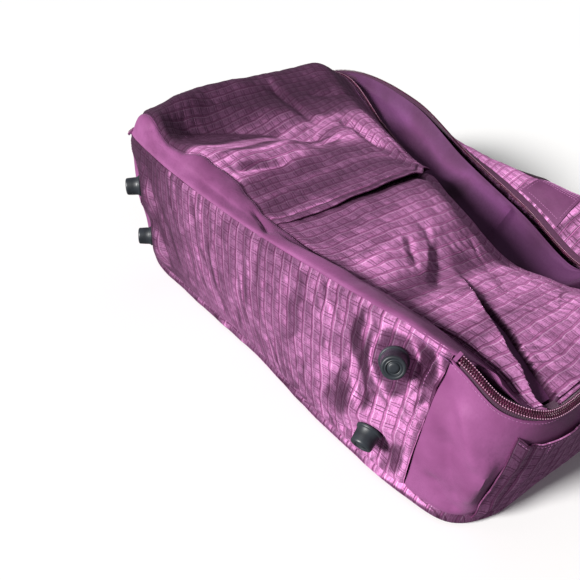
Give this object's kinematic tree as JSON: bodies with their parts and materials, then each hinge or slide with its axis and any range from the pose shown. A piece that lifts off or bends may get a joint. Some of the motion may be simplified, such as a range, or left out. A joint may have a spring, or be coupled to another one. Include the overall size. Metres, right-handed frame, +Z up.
{
  "type": "soft zip-around travel bag",
  "caption": "Soft zip-around holdall lying on its back, its wide lid part open and slumped, with rubber studs on the base, end slip pockets and a webbing handle.",
  "frame": {"origin": "on the flat underside of the back panel, near the middle of the bag", "axes": "+X along the bag towards its near end, +Y from the studded base to the carry handle, +Z up from the back panel to the front lid"},
  "size_m": [0.6412, 0.4588, 0.1998],
  "materials": {
    "jacquard": "woven satin-grid jacquard, soft sheen",
    "plain_cloth": "plain tight weave, matt with a soft sheen",
    "lining": "thin plain lining cloth, matt",
    "zip_tape": "ribbed woven zip tape, matt",
    "zip_coil": "moulded coil, satin",
    "zip_metal": "enamelled, semi-gloss",
    "webbing": "woven webbing, matt",
    "rubber": "moulded, satin",
    "stiffener": "flexible sheet, matt",
    "screw_steel": "plated steel"
  },
  "bodies": {
    "bag_body": {"base_panel": "jacquard", "top_gusset": "jacquard", "near_end_pocket": "jacquard", "far_end_pocket": "jacquard", "near_gusset": "plain_cloth", "far_gusset": "plain_cloth", "back_panel": "plain_cloth", "near_handle_anchor": "plain_cloth", "far_handle_anchor": "plain_cloth", "back_lining": "lining", "wall_lining": "lining", "base_lining": "lining", "gusset_tape": "zip_tape", "gusset_coil": "zip_coil", "near_zip_stop": "zip_metal", "far_zip_stop": "zip_metal", "foot_far_front": "rubber", "foot_far_back": "rubber", "foot_near_front": "rubber", "foot_near_back": "rubber", "base_stiffener": "stiffener", "washer_far_front": "screw_steel", "washer_far_back": "screw_steel", "washer_near_front": "screw_steel", "washer_near_back": "screw_steel", "screw_far_front": "screw_steel", "screw_far_back": "screw_steel", "screw_near_front": "screw_steel", "screw_near_back": "screw_steel"},
    "lid": {"front_band": "plain_cloth", "front_panel": "jacquard", "front_pocket": "jacquard", "lid_lining": "lining", "lid_coil": "zip_coil", "lid_tape": "zip_tape"},
    "near_slider_body": {"near_slider": "zip_metal"},
    "near_pull_body": {"near_pull": "zip_metal"},
    "far_slider_body": {"far_slider": "zip_metal"},
    "far_pull_body": {"far_pull": "zip_metal"},
    "handle": {"carry_handle": "webbing"}
  },
  "joints": [
    {"name": "lid_fold", "type": "hinge", "parent": "bag_body", "child": "lid", "pos_m": [0, -0.188, 0.181], "axis": [1, 0, 0], "range_deg": [0, 115]},
    {"name": "near_slider_travel", "type": "slide", "parent": "lid", "child": "near_slider_body", "axis": [-0.0959, 0.9917, -0.0858], "range_m": [-0.012, 0.02]},
    {"name": "near_pull_turn", "type": "hinge", "parent": "near_slider_body", "child": "near_pull_body", "pos_m": [0.3155, 0.04269, 0.13122], "axis": [0.8402, 0.0345, -0.5411], "range_deg": [0, 150]},
    {"name": "far_slider_travel", "type": "slide", "parent": "lid", "child": "far_slider_body", "axis": [-0.0572, -0.9974, -0.0431], "range_m": [-0.012, 0.02]},
    {"name": "far_pull_turn", "type": "hinge", "parent": "far_slider_body", "child": "far_pull_body", "pos_m": [-0.30452, 0.06446, 0.16407], "axis": [-0.6872, 0.0707, -0.723], "range_deg": [0, 150]},
    {"name": "handle_swing", "type": "hinge", "parent": "bag_body", "child": "handle", "pos_m": [0, 0.2215, 0.1132], "axis": [0.9988, 0.0446, -0.0196], "range_deg": [0, 140]}
  ]
}
